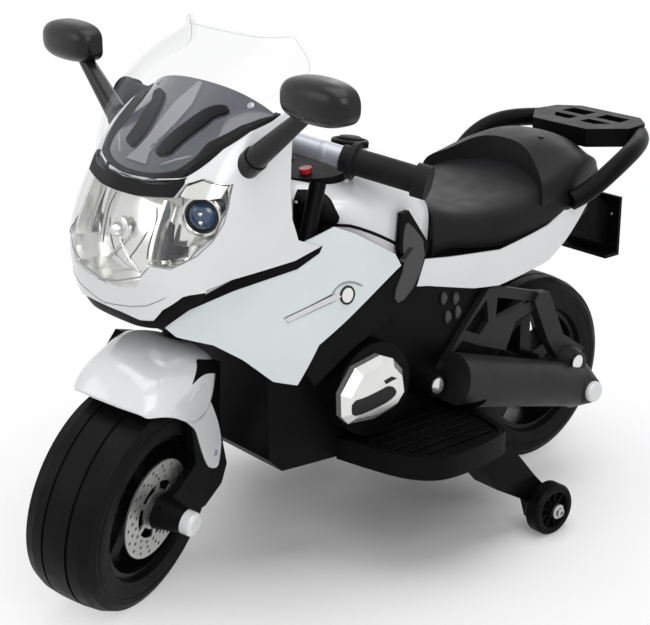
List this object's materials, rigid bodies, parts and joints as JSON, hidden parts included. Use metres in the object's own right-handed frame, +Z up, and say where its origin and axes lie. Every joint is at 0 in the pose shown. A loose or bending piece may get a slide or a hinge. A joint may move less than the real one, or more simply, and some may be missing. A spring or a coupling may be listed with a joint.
{
  "type": "kids electric motorbike",
  "caption": "Ride-on toy electric motorbike with a raked steered front wheel, geared rear drive, stabiliser wheels, folding mirrors, buttons and a foot pedal.",
  "frame": {"origin": "middle of the bounding box on the ground", "axes": "forward is -Y, the rider's left is +X, up is +Z"},
  "size_m": [0.5774, 1.0027, 0.6815],
  "materials": {
    "tyre_black": "matte",
    "rim_black": "gloss",
    "disc_silver": "brushed",
    "steel": "satin",
    "black_plastic": "satin",
    "grip_rubber": "matte",
    "white_gloss": "gloss",
    "panel_white": "gloss",
    "cowl_grey": "gloss",
    "screen_clear": "clear",
    "lens_clear": "clear",
    "reflector": "polished",
    "bar_grey": "satin",
    "cover_chrome": "polished",
    "button_red": "gloss",
    "lamp_red": "gloss",
    "gear_white": "satin",
    "battery_grey": "matte"
  },
  "bodies": {
    "frame": {"rear_axle": "steel", "motor": "steel", "cowl_frame": "black_plastic", "mirror_base_left": "black_plastic", "mirror_base_right": "black_plastic", "chassis_left": "black_plastic", "chassis_right": "black_plastic", "steering_head": "black_plastic", "seat": "black_plastic", "dash_panel": "black_plastic", "stabiliser_arm_left": "black_plastic", "stabiliser_arm_right": "black_plastic", "swingarm_left": "black_plastic", "swingarm_right": "black_plastic", "footboard_left": "black_plastic", "footboard_right": "black_plastic", "grab_rail": "black_plastic", "plate_holder": "black_plastic", "control_box": "black_plastic", "front_fairing": "white_gloss", "tank_cover": "white_gloss", "tail_panel_left": "white_gloss", "tail_panel_right": "white_gloss", "side_panel_left": "panel_white", "side_panel_right": "panel_white", "cowl_panel": "cowl_grey", "windscreen": "screen_clear", "headlight_lens": "lens_clear", "headlight_tray": "reflector", "lamp_left": "reflector", "lamp_right": "reflector", "engine_cover_left": "cover_chrome", "engine_cover_right": "cover_chrome", "tail_light": "lamp_red", "battery": "battery_grey"},
    "steering": {"fork_left": "black_plastic", "fork_right": "black_plastic", "fork_crown": "black_plastic", "steering_stem": "steel", "top_yoke": "black_plastic", "handlebar": "bar_grey", "grip_left": "grip_rubber", "grip_right": "grip_rubber", "front_fender": "white_gloss", "front_axle": "steel"},
    "front_wheel": {"front_tyre": "tyre_black", "front_rim": "rim_black", "brake_disc_left": "disc_silver", "brake_disc_right": "disc_silver"},
    "rear_wheel": {"rear_tyre": "tyre_black", "rear_rim": "rim_black", "drive_gear": "gear_white"},
    "pinion": {"motor_pinion": "gear_white"},
    "stabiliser_left": {"stabiliser_wheel_left": "black_plastic"},
    "stabiliser_right": {"stabiliser_wheel_right": "black_plastic"},
    "mirror_left": {"mirror_left": "black_plastic"},
    "mirror_right": {"mirror_right": "black_plastic"},
    "power_button": {"power_button": "button_red"},
    "direction_rocker": {"direction_rocker": "black_plastic"},
    "accelerator_pedal": {"accelerator_pedal": "black_plastic"}
  },
  "joints": [
    {"name": "steering_turn", "type": "hinge", "parent": "frame", "child": "steering", "pos_m": [0, -0.3646, 0.13755], "axis": [0, 0.3907, 0.9205], "range_deg": [-46, 1]},
    {"name": "front_wheel_spin", "type": "hinge", "parent": "steering", "child": "front_wheel", "pos_m": [0, -0.3646, 0.13755], "axis": [0.9205, 0.3597, -0.1527], "continuous": true},
    {"name": "rear_wheel_spin", "type": "hinge", "parent": "frame", "child": "rear_wheel", "pos_m": [0, 0.3154, 0.1365], "axis": [1, 0, 0], "continuous": true},
    {"name": "motor_spin", "type": "hinge", "parent": "frame", "child": "pinion", "pos_m": [0, 0.2779, 0.20145], "axis": [1, 0, 0], "continuous": true},
    {"name": "stabiliser_left_spin", "type": "hinge", "parent": "frame", "child": "stabiliser_left", "pos_m": [0.218, 0.1554, 0.035], "axis": [1, 0, 0], "continuous": true},
    {"name": "stabiliser_right_spin", "type": "hinge", "parent": "frame", "child": "stabiliser_right", "pos_m": [-0.218, 0.1554, 0.035], "axis": [1, 0, 0], "continuous": true},
    {"name": "mirror_left_turn", "type": "hinge", "parent": "frame", "child": "mirror_left", "pos_m": [0.12412, -0.2606, 0.553], "axis": [0.7938, 0.0493, 0.6062], "range_deg": [-25, 25]},
    {"name": "mirror_right_turn", "type": "hinge", "parent": "frame", "child": "mirror_right", "pos_m": [-0.12412, -0.2606, 0.553], "axis": [-0.7938, 0.0493, 0.6062], "range_deg": [-25, 25]},
    {"name": "power_button_press", "type": "slide", "parent": "frame", "child": "power_button", "axis": [0, 0.1392, -0.9903], "range_m": [0, 0.003], "stiffness_N_per_m": 400},
    {"name": "direction_rocker_tip", "type": "hinge", "parent": "frame", "child": "direction_rocker", "pos_m": [-0.028, -0.09402, 0.48851], "axis": [1, 0, 0], "range_deg": [-6, 6]},
    {"name": "accelerator_press", "type": "hinge", "parent": "frame", "child": "accelerator_pedal", "pos_m": [-0.15, 0.0604, 0.172], "axis": [1, 0, 0], "range_deg": [0, 9], "stiffness_Nm_per_rad": 4, "springref_deg": -2.86}
  ],
  "couplings": [
    {"joint": "motor_spin", "follows": "rear_wheel_spin", "ratio": -4}
  ]
}
